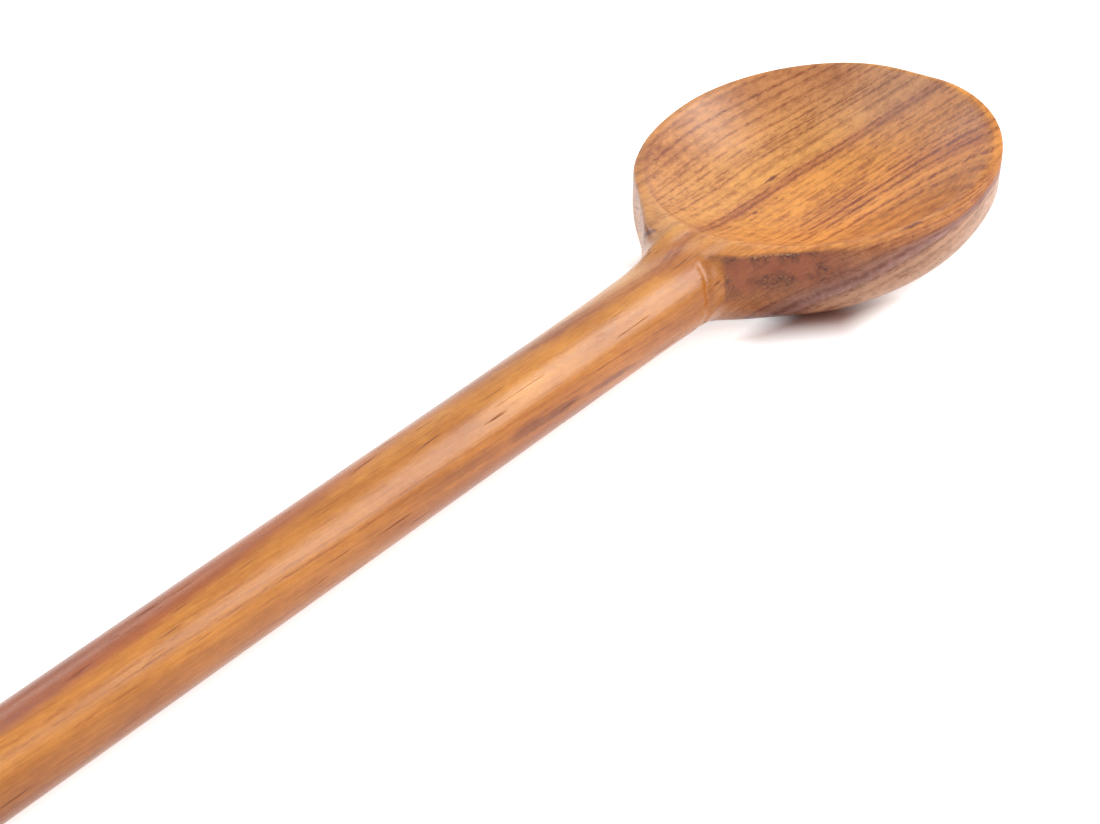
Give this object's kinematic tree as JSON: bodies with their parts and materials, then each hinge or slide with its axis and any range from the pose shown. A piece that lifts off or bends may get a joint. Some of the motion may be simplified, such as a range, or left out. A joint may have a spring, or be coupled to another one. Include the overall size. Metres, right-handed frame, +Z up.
{
  "type": "measuring spoon",
  "caption": "Wooden measuring spoon carved from one piece, with a round tapered handle, a broad shallow bowl and a thin rim, for measuring and stirring ingredients.",
  "frame": {"origin": "centre of the small sanded flat under the bowl, on the surface that the spoon lies on", "axes": "+X along the spoon to the tip of the bowl, +Y to its left side, +Z up out of the hollow"},
  "size_m": [0.25, 0.06, 0.0201],
  "materials": {
    "wood": "oiled, satin"
  },
  "bodies": {
    "root": {"spoon": "wood"}
  },
  "joints": []
}
